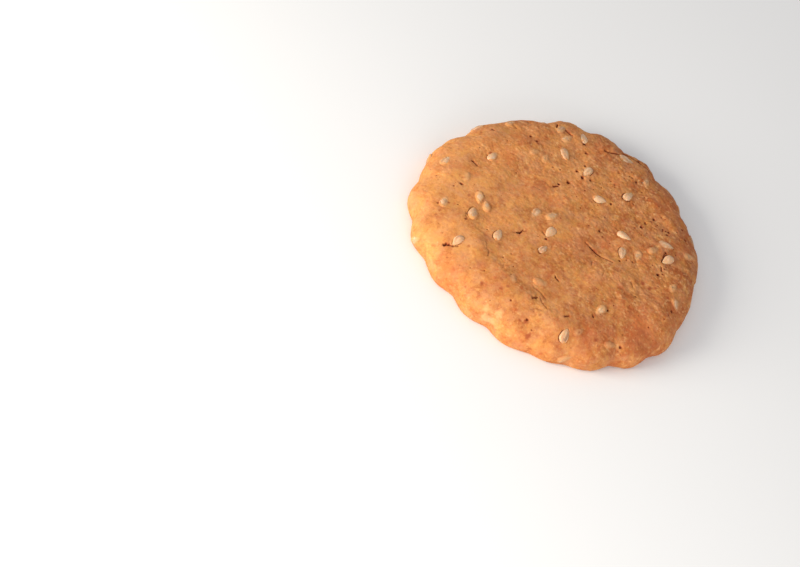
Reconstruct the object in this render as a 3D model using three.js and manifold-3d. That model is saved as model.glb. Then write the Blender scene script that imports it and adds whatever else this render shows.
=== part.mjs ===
// A sesame biscuit: a thin round of dough stamped out with a fluted cutter and baked flat,
// with hulled sesame seeds baked into its face and rim.
//
// Millimetres, +Z up. The biscuit lies on its flat underside, and the origin is on the
// underside, at the centre that the cutter's flutes are set round.

import * as THREE from 'three';
import { mergeVertices } from 'three/addons/utils/BufferGeometryUtils.js';
import Module from 'manifold-3d';

// ---- Driving dimensions, in millimetres ---------------------------------------------------

const MEAN_RADIUS = 30;          // half way between the flutes' crests and notches
const THICKNESS = 7;             // underside to the middle of the face
const WIDEST_HEIGHT = 2;         // height at which the rim stands out furthest
const SHOULDER_RUN = 9;          // how far in from the rim the shoulder meets the face
const FOOT_RUN = 0.8;            // how far in from the rim the underside becomes flat
const SQUARENESS = 2.5;          // 2 would make both roundings quarter ellipses
const FACE_DOME = 0.6;           // rise of the face's middle over its edge

// The cutter's flutes. The dough crept in the oven, so no two reach equally far: each value
// is one flute's crest, or the notch after it, measured out from the mean radius.
const FIRST_CREST = 3;           // degrees, counterclockwise from +X
const CREST_REACH = [
  -0.45, 0.1, -0.1, 0.35, 1.15, 0.95, 0.85, -0.25, -0.35, -0.2,
  -0.35, 0.6, 0.6, 0.1, 0, 0.3, 0, 0.2, 0.45, 0.6,
];
const NOTCH_REACH = [
  -0.85, -0.1, -0.85, -0.6, -0.6, -0.15, -0.9, -0.65, -1.2, 0.1,
  -0.7, -0.4, -0.5, -1.2, -0.9, -0.4, -0.45, -0.8, -0.2, -0.45,
];
// How far round each notch has crept past its even place, as a share of the flutes' spacing
const NOTCH_LEAN = [
  0.1, 0.25, 0, 0.1, 0.05, 0, 0, 0.15, 0.2, 0.15,
  0, 0, 0, 0, 0, 0.05, -0.2, -0.15, -0.2, -0.25,
];
const CREST_ROUNDNESS = 0.5;     // 0 makes pointed notches between round crests, 1 a plain wave
const OUT_OF_ROUND = 0.34;       // the whole outline is faintly three-cornered
const OUT_OF_ROUND_TURN = 82;    // degrees, one of the three corners
const FLUTE_FADE = 8;            // how far in from the rim the flutes can still be felt

// Soft lumps over the face
const LUMP_COUNT = 10;
const LUMP_HEIGHT = 0.06;        // of each wave
const LUMP_SHORTEST = 6;
const LUMP_LONGEST = 15;

// Sesame seeds
const SEED_LENGTH = 3.3;
const SEED_WIDTH = 1.85;
const SEED_THICKNESS = 0.95;
const SEED_TAPER = 0.34;         // share by which the tip is narrower than the middle
const SEED_TILT = 5;             // degrees by which a seed's tip may point up or down
const CLEAR_SHOWS = 0.3;         // height of a clear seed over the dough
const SUNK_SHOWS = 0.14;         // height of a seed that the dough half covers

// Seeds on the face: x, y, the way the tip points in degrees, and the size as a share of
// the dimensions above
const CLEAR_SEEDS = [
  [-7.5, 17.1, 310, 0.95], [-1.8, 15.7, 258, 0.9], [7.65, 15.9, 80, 0.93],
  [3.2, 10.8, 20, 0.92], [10.8, 5.4, 355, 0.95], [20.7, 6.2, 246, 0.95],
  [-19.3, 6.1, 78, 0.9], [-1.8, -4.2, 260, 1.0], [-17.0, -5.9, 291, 0.9],
  [-14.9, -7.0, 120, 0.82], [-16.4, -10.4, 104, 0.97], [-10.1, -12.0, 95, 0.92],
  [-16.0, -18.4, 256, 0.92], [14.0, -14.9, 255, 0.85], [10.5, -24.7, 95, 0.95],
  [12.2, 1.1, 286, 0.86],
];
const SUNK_SEEDS = [
  [-3.2, -0.3, 62, 0.88], [-6.2, -1.8, 265, 0.95], [-21.3, -2.9, 95, 0.82],
  [-26.7, -0.9, 85, 0.8], [-22.3, -11.2, 95, 0.8], [17.2, 6.2, 60, 0.85],
  [15.1, 2.8, 275, 0.9], [24.1, 0.6, 80, 0.85], [26.2, -2.6, 310, 0.9],
  [18.9, 9.4, 10, 0.95], [-8.8, 21.5, 70, 0.9], [-6.0, 24.5, 115, 0.9],
  [3.7, 26.0, 15, 1.05], [9.4, 22.7, 100, 0.82], [-12.7, 12.9, 60, 0.8],
  [-10.8, 23.5, 80, 0.9], [18.8, -20.3, 35, 0.82], [1.6, -16.9, 20, 1.0],
  [-3.3, -19.8, 110, 0.8], [-1.3, -9.2, 75, 0.85], [-20.15, 18.15, 70, 0.9],
  [24.2, 10.9, 40, 0.9], [-10.4, 13.0, 90, 0.8], [12.4, -22.5, 60, 0.75],
];

// Seeds in the rim. Three lie where the outline's angle, the height, the tip's turn and the
// size are known; the rest are spread round the far side.
const RIM_SEEDS = [
  [298.7, 2.6, 35, 0.9], [263.5, 3.0, 5, 1.0], [221.0, 2.2, 60, 0.9],
];
const FAR_RIM_SEEDS = 9;
const FAR_RIM_START = 15;        // degrees
const FAR_RIM_END = 185;
const FAR_RIM_LOWEST = 1.4;
const FAR_RIM_HIGHEST = 4.8;
const FAR_RIM_SMALLEST = 0.85;   // size as a share
const FAR_RIM_LARGEST = 1.1;

// ---- How fine the faces are ----------------------------------------------------------------

const SECTORS_PER_FLUTE = 8;
const SHOULDER_BANDS = 9;
const FOOT_BANDS = 3;
const FACE_RINGS = [18.5, 15.5, 12.5, 9.5, 6.5, 4, 1.8];
const SEED_SIDES = 7;
const SEED_BANDS = 4;

const DOUGH_COLOUR = 0xc98a50;
const DOUGH_ROUGHNESS = 0.85;

// ---- Small helpers -------------------------------------------------------------------------

const wasm = await Module();
wasm.setup();

const radians = THREE.MathUtils.degToRad;
const smooth = THREE.MathUtils.smoothstep;
const mix = THREE.MathUtils.lerp;

/** A repeatable run of random numbers from 0 to 1. */
function draws(start) {
  let state = start;
  return () => {
    state = (Math.imul(state, 1664525) + 1013904223) >>> 0;
    return state / 2 ** 32;
  };
}

// ---- The dough's shape ---------------------------------------------------------------------

const FLUTES = CREST_REACH.length;
const FLUTE_PITCH = 2 * Math.PI / FLUTES;

/** How far the outline stands out from the mean radius at an angle. */
function reach(angle) {
  const turned = (angle - radians(FIRST_CREST)) / FLUTE_PITCH;
  const flute = Math.round(turned);
  const offset = 2 * (turned - flute);
  const crest = CREST_REACH[(flute + FLUTES) % FLUTES];
  const notch = NOTCH_REACH[(flute + FLUTES - (offset < 0 ? 1 : 0)) % FLUTES];
  const wave = (1 - Math.cos(Math.PI * offset)) / 2;
  const drop = mix(offset ** 2, wave, CREST_ROUNDNESS);
  const corners = OUT_OF_ROUND * Math.cos(3 * (angle - radians(OUT_OF_ROUND_TURN)));
  return mix(crest, notch, drop) + corners;
}

/** How far round the flutes at an angle have crept past their even places, in radians. */
function lean(angle) {
  const pastNotch = (angle - radians(FIRST_CREST)) / FLUTE_PITCH - 0.5;
  const notch = Math.floor(pastNotch);
  const before = NOTCH_LEAN[(notch + FLUTES) % FLUTES];
  const after = NOTCH_LEAN[(notch + 1 + FLUTES) % FLUTES];
  return FLUTE_PITCH * mix(before, after, pastNotch - notch);
}

/** Share of the flutes that is still there at a radius of the unfluted round. */
function fluteShare(radius) {
  return smooth(radius, MEAN_RADIUS - FLUTE_FADE, MEAN_RADIUS - 1);
}

/** A rounding that leaves the rim upright and ends level, as [distance in, rise]. */
function rounding(quarter, run, rise) {
  const power = 2 / SQUARENESS;
  return [run * (1 - Math.cos(quarter) ** power), rise * Math.sin(quarter) ** power];
}

const waveDraw = draws(7);
const WAVES = Array.from({ length: LUMP_COUNT }, () => {
  const heading = 2 * Math.PI * waveDraw();
  const turnsPerMm = 2 * Math.PI / mix(LUMP_SHORTEST, LUMP_LONGEST, waveDraw());
  const phase = 2 * Math.PI * waveDraw();
  return [turnsPerMm * Math.cos(heading), turnsPerMm * Math.sin(heading), phase];
});

/** The face's dome and soft lumps: what they add to its height. */
function relief(x, y) {
  const dome = FACE_DOME * (1 - (x * x + y * y) / MEAN_RADIUS ** 2);
  const lumps = WAVES.map(([kx, ky, phase]) => LUMP_HEIGHT * Math.sin(kx * x + ky * y + phase));
  return dome - FACE_DOME + lumps.reduce((sum, lump) => sum + lump, 0);
}

/** Moves a point of the plain round to its place on the fluted, lumpy biscuit. */
function shaped(point) {
  const radius = Math.hypot(point.x, point.y);
  const angle = Math.atan2(point.y, point.x);
  const share = fluteShare(radius);
  const fluted = radius + reach(angle) * share;
  const turned = angle + lean(angle) * share;
  const x = fluted * Math.cos(turned);
  const y = fluted * Math.sin(turned);
  const lift = Math.max(0, (point.z - WIDEST_HEIGHT) / (THICKNESS - WIDEST_HEIGHT));
  return new THREE.Vector3(x, y, point.z + lift * relief(x, y));
}

/** The plain round's skin at an angle, where 0 is the widest line and pi/2 the face's edge. */
function rimPoint(angle, quarter) {
  const [inset, rise] = rounding(quarter, SHOULDER_RUN, THICKNESS - WIDEST_HEIGHT);
  const radius = MEAN_RADIUS - inset;
  const plain = new THREE.Vector3(radius * Math.cos(angle), radius * Math.sin(angle), 0);
  plain.z = WIDEST_HEIGHT + rise;
  return shaped(plain);
}

const INVERSE_STEPS = 8;         // enough to find a point's place on the plain round

/** The face's skin over x, y. */
function facePoint(x, y) {
  const turned = Math.atan2(y, x);
  const fluted = Math.hypot(x, y);
  let angle = turned;
  let radius = fluted;
  for (let step = 0; step < INVERSE_STEPS; step += 1) {
    const fluting = fluteShare(radius);
    angle = turned - lean(angle) * fluting;
    radius = fluted - reach(angle) * fluting;
  }
  const share = Math.min(1, Math.max(0, (MEAN_RADIUS - radius) / SHOULDER_RUN));
  const quarter = Math.acos((1 - share) ** (SQUARENESS / 2));
  const [, rise] = rounding(quarter, SHOULDER_RUN, THICKNESS - WIDEST_HEIGHT);
  const plain = new THREE.Vector3(radius * Math.cos(angle), radius * Math.sin(angle), 0);
  plain.z = WIDEST_HEIGHT + rise;
  return shaped(plain);
}

/** The dough as a closed solid of rotation, then fluted and lumped. */
function makeDough() {
  const profile = [new THREE.Vector2(0, 0)];
  for (let band = FOOT_BANDS; band > 0; band -= 1) {
    const [inset, fall] = rounding(band / FOOT_BANDS * Math.PI / 2, FOOT_RUN, WIDEST_HEIGHT);
    profile.push(new THREE.Vector2(MEAN_RADIUS - inset, WIDEST_HEIGHT - fall));
  }
  for (let band = 0; band <= SHOULDER_BANDS; band += 1) {
    const quarter = band / SHOULDER_BANDS * Math.PI / 2;
    const [inset, rise] = rounding(quarter, SHOULDER_RUN, THICKNESS - WIDEST_HEIGHT);
    profile.push(new THREE.Vector2(MEAN_RADIUS - inset, WIDEST_HEIGHT + rise));
  }
  for (const radius of FACE_RINGS) {
    profile.push(new THREE.Vector2(radius, THICKNESS));
  }
  profile.push(new THREE.Vector2(0, THICKNESS));

  const start = radians(FIRST_CREST);
  const dough = new THREE.LatheGeometry(profile, FLUTES * SECTORS_PER_FLUTE, start);
  dough.rotateX(Math.PI / 2);
  const places = dough.attributes.position;
  const point = new THREE.Vector3();
  for (let index = 0; index < places.count; index += 1) {
    point.fromBufferAttribute(places, index);
    places.setXYZ(index, ...shaped(point));
  }
  return dough;
}

// ---- The seeds -----------------------------------------------------------------------------

/** One flat teardrop seed with its tip towards +X, moved by a placing matrix. */
function makeSeed(size, placing) {
  const seed = new THREE.SphereGeometry(1, SEED_SIDES, SEED_BANDS);
  seed.rotateZ(-Math.PI / 2);
  const places = seed.attributes.position;
  for (let index = 0; index < places.count; index += 1) {
    const narrowing = 1 - SEED_TAPER * places.getX(index);
    places.setY(index, places.getY(index) * narrowing);
    places.setZ(index, places.getZ(index) * narrowing);
  }
  seed.scale(size * SEED_LENGTH / 2, size * SEED_WIDTH / 2, size * SEED_THICKNESS / 2);
  return seed.applyMatrix4(placing);
}

/** Lies a seed on the skin at a point: how it is turned and tilted, and how high it stands. */
function placing(point, normal, along, { turn, tilt, lift }) {
  const up = normal.clone().normalize();
  const across = up.clone().cross(along).normalize();
  const forward = across.clone().cross(up);
  const matrix = new THREE.Matrix4().makeBasis(forward, across, up);
  matrix.multiply(new THREE.Matrix4().makeRotationZ(radians(turn)));
  matrix.multiply(new THREE.Matrix4().makeRotationY(radians(tilt)));
  return matrix.setPosition(point.clone().addScaledVector(up, lift));
}

const NEARBY = 0.4;              // distance over which the skin's slope is taken

function seedOnFace([x, y, turn, size], tilt, shows) {
  const point = facePoint(x, y);
  const toRight = facePoint(x + NEARBY, y).sub(facePoint(x - NEARBY, y));
  const toBack = facePoint(x, y + NEARBY).sub(facePoint(x, y - NEARBY));
  const normal = toRight.clone().cross(toBack);
  const lift = shows - size * SEED_THICKNESS / 2;
  return makeSeed(size, placing(point, normal, new THREE.Vector3(1, 0, 0), { turn, tilt, lift }));
}

function seedInRim([degrees, height, turn, size], tilt) {
  const angle = radians(degrees);
  const share = (height - WIDEST_HEIGHT) / (THICKNESS - WIDEST_HEIGHT);
  const quarter = Math.asin(Math.max(0, share) ** (SQUARENESS / 2));
  const step = NEARBY / MEAN_RADIUS;
  const point = rimPoint(angle, quarter);
  const around = rimPoint(angle + step, quarter).sub(rimPoint(angle - step, quarter));
  const upward = rimPoint(angle, quarter + step).sub(rimPoint(angle, quarter));
  const normal = around.clone().cross(upward);
  const lift = SUNK_SHOWS - size * SEED_THICKNESS / 2;
  return makeSeed(size, placing(point, normal, around.normalize(), { turn, tilt, lift }));
}

function makeSeeds() {
  const draw = draws(29);
  const tilt = () => SEED_TILT * (2 * draw() - 1);
  const clear = CLEAR_SEEDS.map((seed) => seedOnFace(seed, tilt(), CLEAR_SHOWS));
  const sunk = SUNK_SEEDS.map((seed) => seedOnFace(seed, tilt(), SUNK_SHOWS));
  const rim = RIM_SEEDS.map((seed) => seedInRim(seed, tilt()));
  const farRim = Array.from({ length: FAR_RIM_SEEDS }, (_, index) => {
    const degrees = mix(FAR_RIM_START, FAR_RIM_END, (index + draw()) / FAR_RIM_SEEDS);
    const height = mix(FAR_RIM_LOWEST, FAR_RIM_HIGHEST, draw());
    const turn = 360 * draw();
    const size = mix(FAR_RIM_SMALLEST, FAR_RIM_LARGEST, draw());
    return seedInRim([degrees, height, turn, size], tilt());
  });
  return [...clear, ...sunk, ...rim, ...farRim];
}

// ---- Baking the seeds into the dough -------------------------------------------------------

/** A closed solid of a geometry whose seams and poles are closed first. */
function solidOf(geometry) {
  geometry.deleteAttribute('normal');
  geometry.deleteAttribute('uv');
  const closed = mergeVertices(geometry);
  const corners = [];
  for (let index = 0; index < closed.index.count; index += 3) {
    const [a, b, c] = closed.index.array.slice(index, index + 3);
    if (a !== b && b !== c && c !== a) {
      corners.push(a, b, c);
    }
  }
  return new wasm.Manifold(new wasm.Mesh({
    numProp: 3,
    vertProperties: closed.attributes.position.array,
    triVerts: Uint32Array.from(corners),
  }));
}

function makeBiscuit() {
  let solid = solidOf(makeDough());
  for (const seed of makeSeeds()) {
    solid = solid.add(solidOf(seed));
  }
  const { vertProperties, triVerts } = solid.getMesh();
  const geometry = new THREE.BufferGeometry();
  geometry.setAttribute('position', new THREE.BufferAttribute(vertProperties, 3));
  geometry.setIndex(new THREE.BufferAttribute(triVerts, 1));
  geometry.computeVertexNormals();
  const material = new THREE.MeshStandardMaterial({
    color: DOUGH_COLOUR,
    roughness: DOUGH_ROUGHNESS,
    metalness: 0,
  });
  const mesh = new THREE.Mesh(geometry, material);
  mesh.name = 'biscuit';
  return mesh;
}

const part = new THREE.Group();
part.add(makeBiscuit());

export default part;
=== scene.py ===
# A sesame biscuit lying on a pale floor, seen from above at the photograph's viewing angle.
#
# The forms below are worked out in millimetres, as in the solid, and become metres when a
# mesh is made. +Z is up, and the biscuit's underside lies on z = 0.

import math
from collections import namedtuple

import bmesh
import bpy
import numpy as np
from mathutils import Matrix, Vector, noise


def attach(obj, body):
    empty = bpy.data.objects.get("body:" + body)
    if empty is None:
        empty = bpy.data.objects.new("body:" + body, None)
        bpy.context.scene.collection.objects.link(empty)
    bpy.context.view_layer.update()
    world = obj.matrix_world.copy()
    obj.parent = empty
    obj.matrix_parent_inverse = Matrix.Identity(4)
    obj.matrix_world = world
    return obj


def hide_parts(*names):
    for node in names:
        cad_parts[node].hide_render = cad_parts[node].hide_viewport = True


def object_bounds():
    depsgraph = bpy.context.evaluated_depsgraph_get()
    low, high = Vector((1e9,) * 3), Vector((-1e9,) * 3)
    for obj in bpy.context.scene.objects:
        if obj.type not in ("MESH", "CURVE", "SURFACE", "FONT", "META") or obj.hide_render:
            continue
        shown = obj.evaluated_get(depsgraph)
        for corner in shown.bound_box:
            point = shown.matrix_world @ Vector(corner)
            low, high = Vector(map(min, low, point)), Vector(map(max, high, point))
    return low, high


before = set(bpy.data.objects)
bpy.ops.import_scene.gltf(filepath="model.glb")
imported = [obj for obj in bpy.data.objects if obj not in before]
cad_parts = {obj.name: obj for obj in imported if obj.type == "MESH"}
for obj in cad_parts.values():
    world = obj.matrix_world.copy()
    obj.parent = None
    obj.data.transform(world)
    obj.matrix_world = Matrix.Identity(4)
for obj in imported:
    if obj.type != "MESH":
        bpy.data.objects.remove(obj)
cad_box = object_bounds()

MM = 0.001

# The solid's box in millimetres, which the looks stay inside, just clear of the floor
SOLID_BOX = np.array([list(corner) for corner in cad_box]) / MM
FLOOR_CLEARANCE = 0.005
SOLID_BOX[0][2] += FLOOR_CLEARANCE

# ---- The dough's shape, as in the solid ------------------------------------------------------

MEAN_RADIUS = 30
THICKNESS = 7
WIDEST_HEIGHT = 2
SHOULDER_RUN = 9
FOOT_RUN = 0.8
# The power of the roundings' outline, where 2 makes an ellipse
SQUARENESS = 2.5
FACE_DOME = 0.6

# How far each crest and notch reaches past the mean radius, going round from the first crest,
# which is at an angle in degrees, and how far each notch leans round, as a share of the pitch
FIRST_CREST = 3
CREST_REACH = np.array([
    -0.45, 0.1, -0.1, 0.35, 1.15, 0.95, 0.85, -0.25, -0.35, -0.2,
    -0.35, 0.6, 0.6, 0.1, 0, 0.3, 0, 0.2, 0.45, 0.6,
])
NOTCH_REACH = np.array([
    -0.85, -0.1, -0.85, -0.6, -0.6, -0.15, -0.9, -0.65, -1.2, 0.1,
    -0.7, -0.4, -0.5, -1.2, -0.9, -0.4, -0.45, -0.8, -0.2, -0.45,
])
NOTCH_LEAN = np.array([
    0.1, 0.25, 0, 0.1, 0.05, 0, 0, 0.15, 0.2, 0.15,
    0, 0, 0, 0, 0, 0.05, -0.2, -0.15, -0.2, -0.25,
])
CREST_ROUNDNESS = 0.5
# The round is pressed a little toward a few soft corners, the first at an angle in degrees
OUT_OF_ROUND = 0.34
OUT_OF_ROUND_CORNERS = 3
OUT_OF_ROUND_TURN = 82
# How far in from the rim the flutes begin, and where they are full
FLUTE_FADE = 8
FLUTES_FULL = 1

LUMP_COUNT = 10
LUMP_HEIGHT = 0.06
LUMP_SHORTEST = 6
LUMP_LONGEST = 15

# Where each run of random draws starts
LUMP_DRAWS = 7
SEED_DRAWS = 29
PALENESS_DRAWS = 71
UNDERSIDE_SEED_DRAWS = 53
SEED_UNEVENNESS_DRAWS = 61
SMALL_PIT_DRAWS = 101
CLUSTER_DRAWS = 103
UNDERSIDE_PIT_DRAWS = 211
BRAN_DRAWS = 307
GRAIN_DRAWS = 409

# ---- Sesame seeds ----------------------------------------------------------------------------

SEED_LENGTH = 3.3
SEED_WIDTH = 1.85
SEED_THICKNESS = 0.95
SEED_TAPER = 0.34
SEED_TILT = 5
# How far seeds stand out of the dough: the clear ones, the sunk ones and the underside's
CLEAR_SHOWS = 0.3
SUNK_SHOWS = 0.14
UNDERSIDE_SHOWS = 0.1
SKIN_OVER_SEED = 0.04
# How far the dough lies over a seed that it covers, and under the top of one that it leaves bare
FILM_OVER_SEED = 0.05
BARE_CLEARANCE = 0.09
# Heights of a clear seed's surface over the dough where the dough still films it, and where it
# no longer does
FILMED_HEIGHTS = (0.02, 0.2)
# How strongly a sunk seed is filmed over where the dough covers it, and where it leaves it bare
SUNK_FILM = (0.6, 0.05)
UNDERSIDE_CLEARANCE = 0.015

# x, y, the way the tip points and the size as a share; where the dough has drawn back from the
# seed, as a direction in degrees, and how wide that gap is; how pale the seed is; and how far
# out from its middle the dough leaves it bare
CLEAR_SEEDS = [
    (-7.5, 17.1, 310, 0.95, 225, 0.03, 0.7, 0.8), (-1.8, 15.7, 258, 0.9, 40, 0.10, 0.25, 1.0),
    (7.65, 15.9, 80, 0.93, 235, 0.20, 0.8, 0.9), (3.2, 10.8, 20, 0.92, 290, 0.11, 0.8, 0.9),
    (10.8, 5.4, 355, 0.95, 190, 0.03, 1.0, 1.1), (20.7, 6.2, 246, 0.95, 180, 0.28, 0.9, 1.1),
    (-19.3, 6.1, 78, 0.9, 200, 0.05, 0.7, 0.7), (-1.8, -4.2, 260, 1.0, 235, 0.05, 0.8, 1.05),
    (-17.0, -5.9, 291, 0.9, 40, 0, 0.7, 0.55), (-14.9, -7.0, 120, 0.82, 330, 0, 0.7, 0.5),
    (-16.4, -10.4, 104, 1.05, 180, 0.12, 0.5, 0.6), (-10.1, -12.0, 95, 0.92, 195, 0.12, 0.5, 1.0),
    (-16.0, -18.4, 256, 0.92, 290, 0.09, 0.9, 1.1), (14.0, -14.9, 255, 0.92, 250, 0, 0.3, 0.4),
    (10.5, -24.7, 95, 0.95, 200, 0.11, 1.0, 1.1), (12.2, 1.1, 286, 0.86, 200, 0.11, 0.1, 0.95),
]
# x, y, the way the tip points and the size; then how far out the dough leaves it bare
SUNK_SEEDS = [
    (-3.2, -0.3, 62, 0.98, 0.5), (-6.2, -1.8, 265, 0.95, 0.7), (-21.3, -2.9, 95, 0.82, 0),
    (-26.7, -0.9, 85, 0.95, 0.75), (-22.3, -11.2, 95, 0.9, 0.7), (17.2, 6.2, 60, 0.9, 0.2),
    (15.1, 2.8, 275, 0.9, 0.3), (24.1, 0.6, 80, 0.85, 0.2), (26.2, -2.6, 310, 0.9, 0.5),
    (18.9, 9.4, 10, 1.0, 0.8), (-8.8, 21.5, 70, 0.95, 0.3), (-6.0, 24.5, 115, 0.95, 0.95),
    (3.7, 26.0, 15, 1.1, 0.95), (9.4, 22.7, 100, 0.82, 0.4), (-12.7, 12.9, 60, 0.8, 0),
    (-10.8, 23.5, 80, 0.9, 0.6), (18.8, -20.3, 35, 0.82, 0), (1.6, -16.9, 20, 1.0, 0),
    (-3.3, -19.8, 110, 0.8, 0), (-1.3, -9.2, 75, 0.75, 0.85), (-20.15, 18.15, 70, 0.9, 0.4),
    (24.2, 10.9, 40, 0.9, 0.3), (-10.4, 13.0, 90, 0.8, 0), (12.4, -22.5, 60, 0.75, 0),
]
# How far out from their middles the near rim's seeds, and the far rim's and underside's, are bare
RIM_SEEDS_BARE = 0.2
HIDDEN_SEEDS_BARE = 0.8
# The outline's angle, the height, the tip's turn and the size
RIM_SEEDS = [
    (298.7, 2.6, 35, 0.9), (263.5, 3.0, 5, 1.0), (221.0, 2.2, 60, 0.9),
]
FAR_RIM_SEEDS = 9
FAR_RIM_START = 15
FAR_RIM_END = 185
FAR_RIM_LOWEST = 1.4
FAR_RIM_HIGHEST = 4.8
FAR_RIM_SMALLEST = 0.85
FAR_RIM_LARGEST = 1.1
UNDERSIDE_SEEDS = 20
UNDERSIDE_REACH = 27
UNDERSIDE_SWING = 30
GOLDEN_ANGLE = 137.508

SEED_SIDES = 20
SEED_BANDS = 16
SEED_UNEVENNESS = 0.075
SEED_UNEVEN_OVER = 1.1
# Half the distance over which a seed's slopes are measured, and how far over and under its own
# level the dough is taken to be next to it
NEARBY = 0.4
SEED_LEVEL_REACH = 1.5

# ---- Cracks, pits and bran in the face -------------------------------------------------------

CRACK_DEPTH = 0.4
# How deep and dark each crack is as a share, the dark partly the crust's own and partly painted
# shade, how wide it is, and where it runs
CRACKS = [
    (0.5, 0.13, [(5.0, -1.7), (6.3, -1.95)]),
    (0.9, 0.15, [(6.3, -1.95), (8.0, -2.5), (8.8, -2.6)]),
    (0.45, 0.12, [(8.8, -2.6), (11.5, -2.5)]),
    (0.7, 0.15, [(-1.1, 24.4), (-0.2, 24.5), (1.4, 25.5), (2.0, 25.8)]),
    (0.35, 0.11, [(-5.9, -7.1), (-6.7, -7.9)]),
    (1.0, 0.16, [(-6.6, -8.0), (-7.2, -8.7)]),
    (0.5, 0.10, [(-6.5, -7.3), (-6.7, -7.9)]),
    (0.3, 0.10, [(-7.2, -8.7), (-7.6, -8.9), (-8.0, -9.2)]),
    (1.0, 0.26, [(-17.8, -20.5), (-17.1, -20.1)]),
    (0.7, 0.11, [(-17.1, -20.1), (-16.3, -20.1), (-15.4, -19.6)]),
    (0.6, 0.09, [(19.6, 7.3), (19.5, 6.5), (19.8, 5.2)]),
    (0.6, 0.14, [(20.2, 3.5), (20.6, 2.9)]),
    (0.6, 0.14, [(-10.2, 24.2), (-9.3, 23.6), (-8.2, 23.1)]),
    (0.8, 0.16, [(2.4, 26.9), (3.9, 27.7), (5.9, 27.9), (6.9, 27.5)]),
    (0.7, 0.15, [(7.6, 27.3), (9.7, 26.8), (11.4, 25.9)]),
    (0.12, 0.12, [(-11.3, -15.4), (-10.6, -16.6), (-9.9, -17.3)]),
    (0.12, 0.12, [(-7.1, -16.8), (-6.3, -17.4), (-5.9, -18.7)]),
    (0.25, 0.12, [(3.0, -20.3), (3.6, -21.2), (5.0, -21.8)]),
    (0.2, 0.12, [(2.5, -24.0), (3.3, -23.2), (4.4, -22.8)]),
    (0.65, 0.15, [(2.5, -20.7), (1.7, -21.7)]),
    (0.65, 0.13, [(3.3, -13.6), (3.7, -13.9), (4.4, -14.0)]),
    (0.6, 0.14, [(8.7, -21.4), (9.3, -20.7)]),
    (0.8, 0.16, [(-6.0, 7.2), (-5.3, 7.9)]),
    (0.3, 0.16, [(6.2, 2.9), (6.9, 3.2)]),
    (0.4, 0.16, [(-3.1, -5.1), (-2.6, -5.5)]),
    (0.5, 0.18, [(-22.2, 2.1), (-20.8, 1.6)]),
    (0.8, 0.15, [(-12.0, 24.4), (-11.8, 23.4)]),
    (0.3, 0.12, [(-17.6, -11.1), (-17.2, -12.2), (-16.7, -12.7)]),
    (0.3, 0.15, [(-9.9, -16.9), (-9.6, -18.0)]),
    (0.25, 0.2, [(1.0, -18.9), (2.6, -19.1), (4.0, -19.9)]),
    (0.25, 0.14, [(8.0, -5.0), (8.2, -6.0)]),
    (0.2, 0.14, [(10.9, -5.6), (11.0, -7.0)]),
    (0.3, 0.2, [(16.5, -4.4), (17.2, -5.2)]),
]
# How dark each pit is as a share, partly its crust's own darker bake and partly painted shade, then
# x, y and its radius
PITS = [
    (1.0, -2.8, 16.8, 0.24), (1.0, -2.1, 13.7, 0.3), (0.9, 5.5, 11.4, 0.22),
    (1.0, 19.6, 7.6, 0.24), (1.0, 20.4, 1.5, 0.34), (0.6, 20.6, 2.9, 0.24),
    (0.8, -1.9, -6.4, 0.28), (0.6, -1.5, -10.4, 0.32), (1.0, -5.4, 8.5, 0.25),
    (1.0, -6.9, -8.4, 0.30), (0.8, -21.9, 2.0, 0.26), (0.8, -21.4, -5.1, 0.26),
    (1.0, -17.6, -20.2, 0.32), (0.9, -4.0, 10.5, 0.34), (0.8, -3.6, 14.4, 0.24),
    (0.7, -0.4, 14.2, 0.22), (0.5, -6.6, 12.3, 0.22), (0.7, -22.3, 13.3, 0.30),
    (0.8, 3.5, -13.8, 0.22), (0.5, -1.5, -24.6, 0.22),
    (0.9, 15.1, -13.9, 0.24), (0.7, 20.8, -19.2, 0.26), (0.7, 3.0, -26.1, 0.28),
    (0.8, 26.1, -4.7, 0.30), (0.6, 14.8, 0.6, 0.20), (1.0, -5.4, 23.0, 0.42),
    (0.7, -8.6, 23.2, 0.22), (0.6, 21.9, 14.6, 0.28), (0.9, 18.2, 13.4, 0.22),
    (0.8, 18.2, 12.4, 0.22), (0.7, 14.4, 14.4, 0.24), (0.8, 12.9, 10.4, 0.26),
    (0.6, 13.2, 12.2, 0.20), (0.7, -15.2, 16.7, 0.26), (0.7, -13.6, 16.2, 0.30),
    (0.6, 7.6, 21.1, 0.22), (0.7, -3.9, 20.9, 0.26), (0.7, -16.6, -4.9, 0.24),
    (0.7, 18.5, -6.9, 0.24), (0.5, -23.1, -12.2, 0.22), (0.9, 6.2, 3.0, 0.22),
    (0.9, 16.9, 13.1, 0.16), (0.8, 17.6, 13.2, 0.15), (0.8, 15.5, 13.2, 0.15),
    (0.9, 13.4, -17.3, 0.26), (0.8, 12.5, -1.0, 0.22), (0.6, -16.9, -12.9, 0.22),
    (0.8, 6.5, 21.3, 0.2), (0.8, 7.7, 20.9, 0.18), (0.8, 8.8, 21.9, 0.18),
    (0.8, 14.5, 14.2, 0.2), (0.8, 13.3, 11.9, 0.2), (0.9, 13.0, 10.2, 0.26),
    (1.0, -1.9, -9.8, 0.30), (0.8, 20.4, 16.7, 0.2), (0.8, 6.0, 28.2, 0.3),
    (0.7, 18.3, 13.3, 0.15),
]
PIT_DEPTH = 0.36
PIT_STEEPNESS = 3
# Pits of less than this radius are shallower
FULL_DEPTH_RADIUS = 0.25
SMALL_PITS = 55
SMALL_PIT_SHARE = 0.55
SMALL_PIT_REACH = 28
SMALL_PIT_RADIUS = (0.07, 0.17)
# More of them lie close together round this place
PIT_CLUSTER = (13, 13)
CLUSTER_REACH = 15
CLUSTER_PITS = 110

# The dough round the seeds: how softly it drapes over them, and how its edge on them runs
DRAPE = 0.05
BARE_WANDER = 0.35
BARE_EDGE = 0.08
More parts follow.
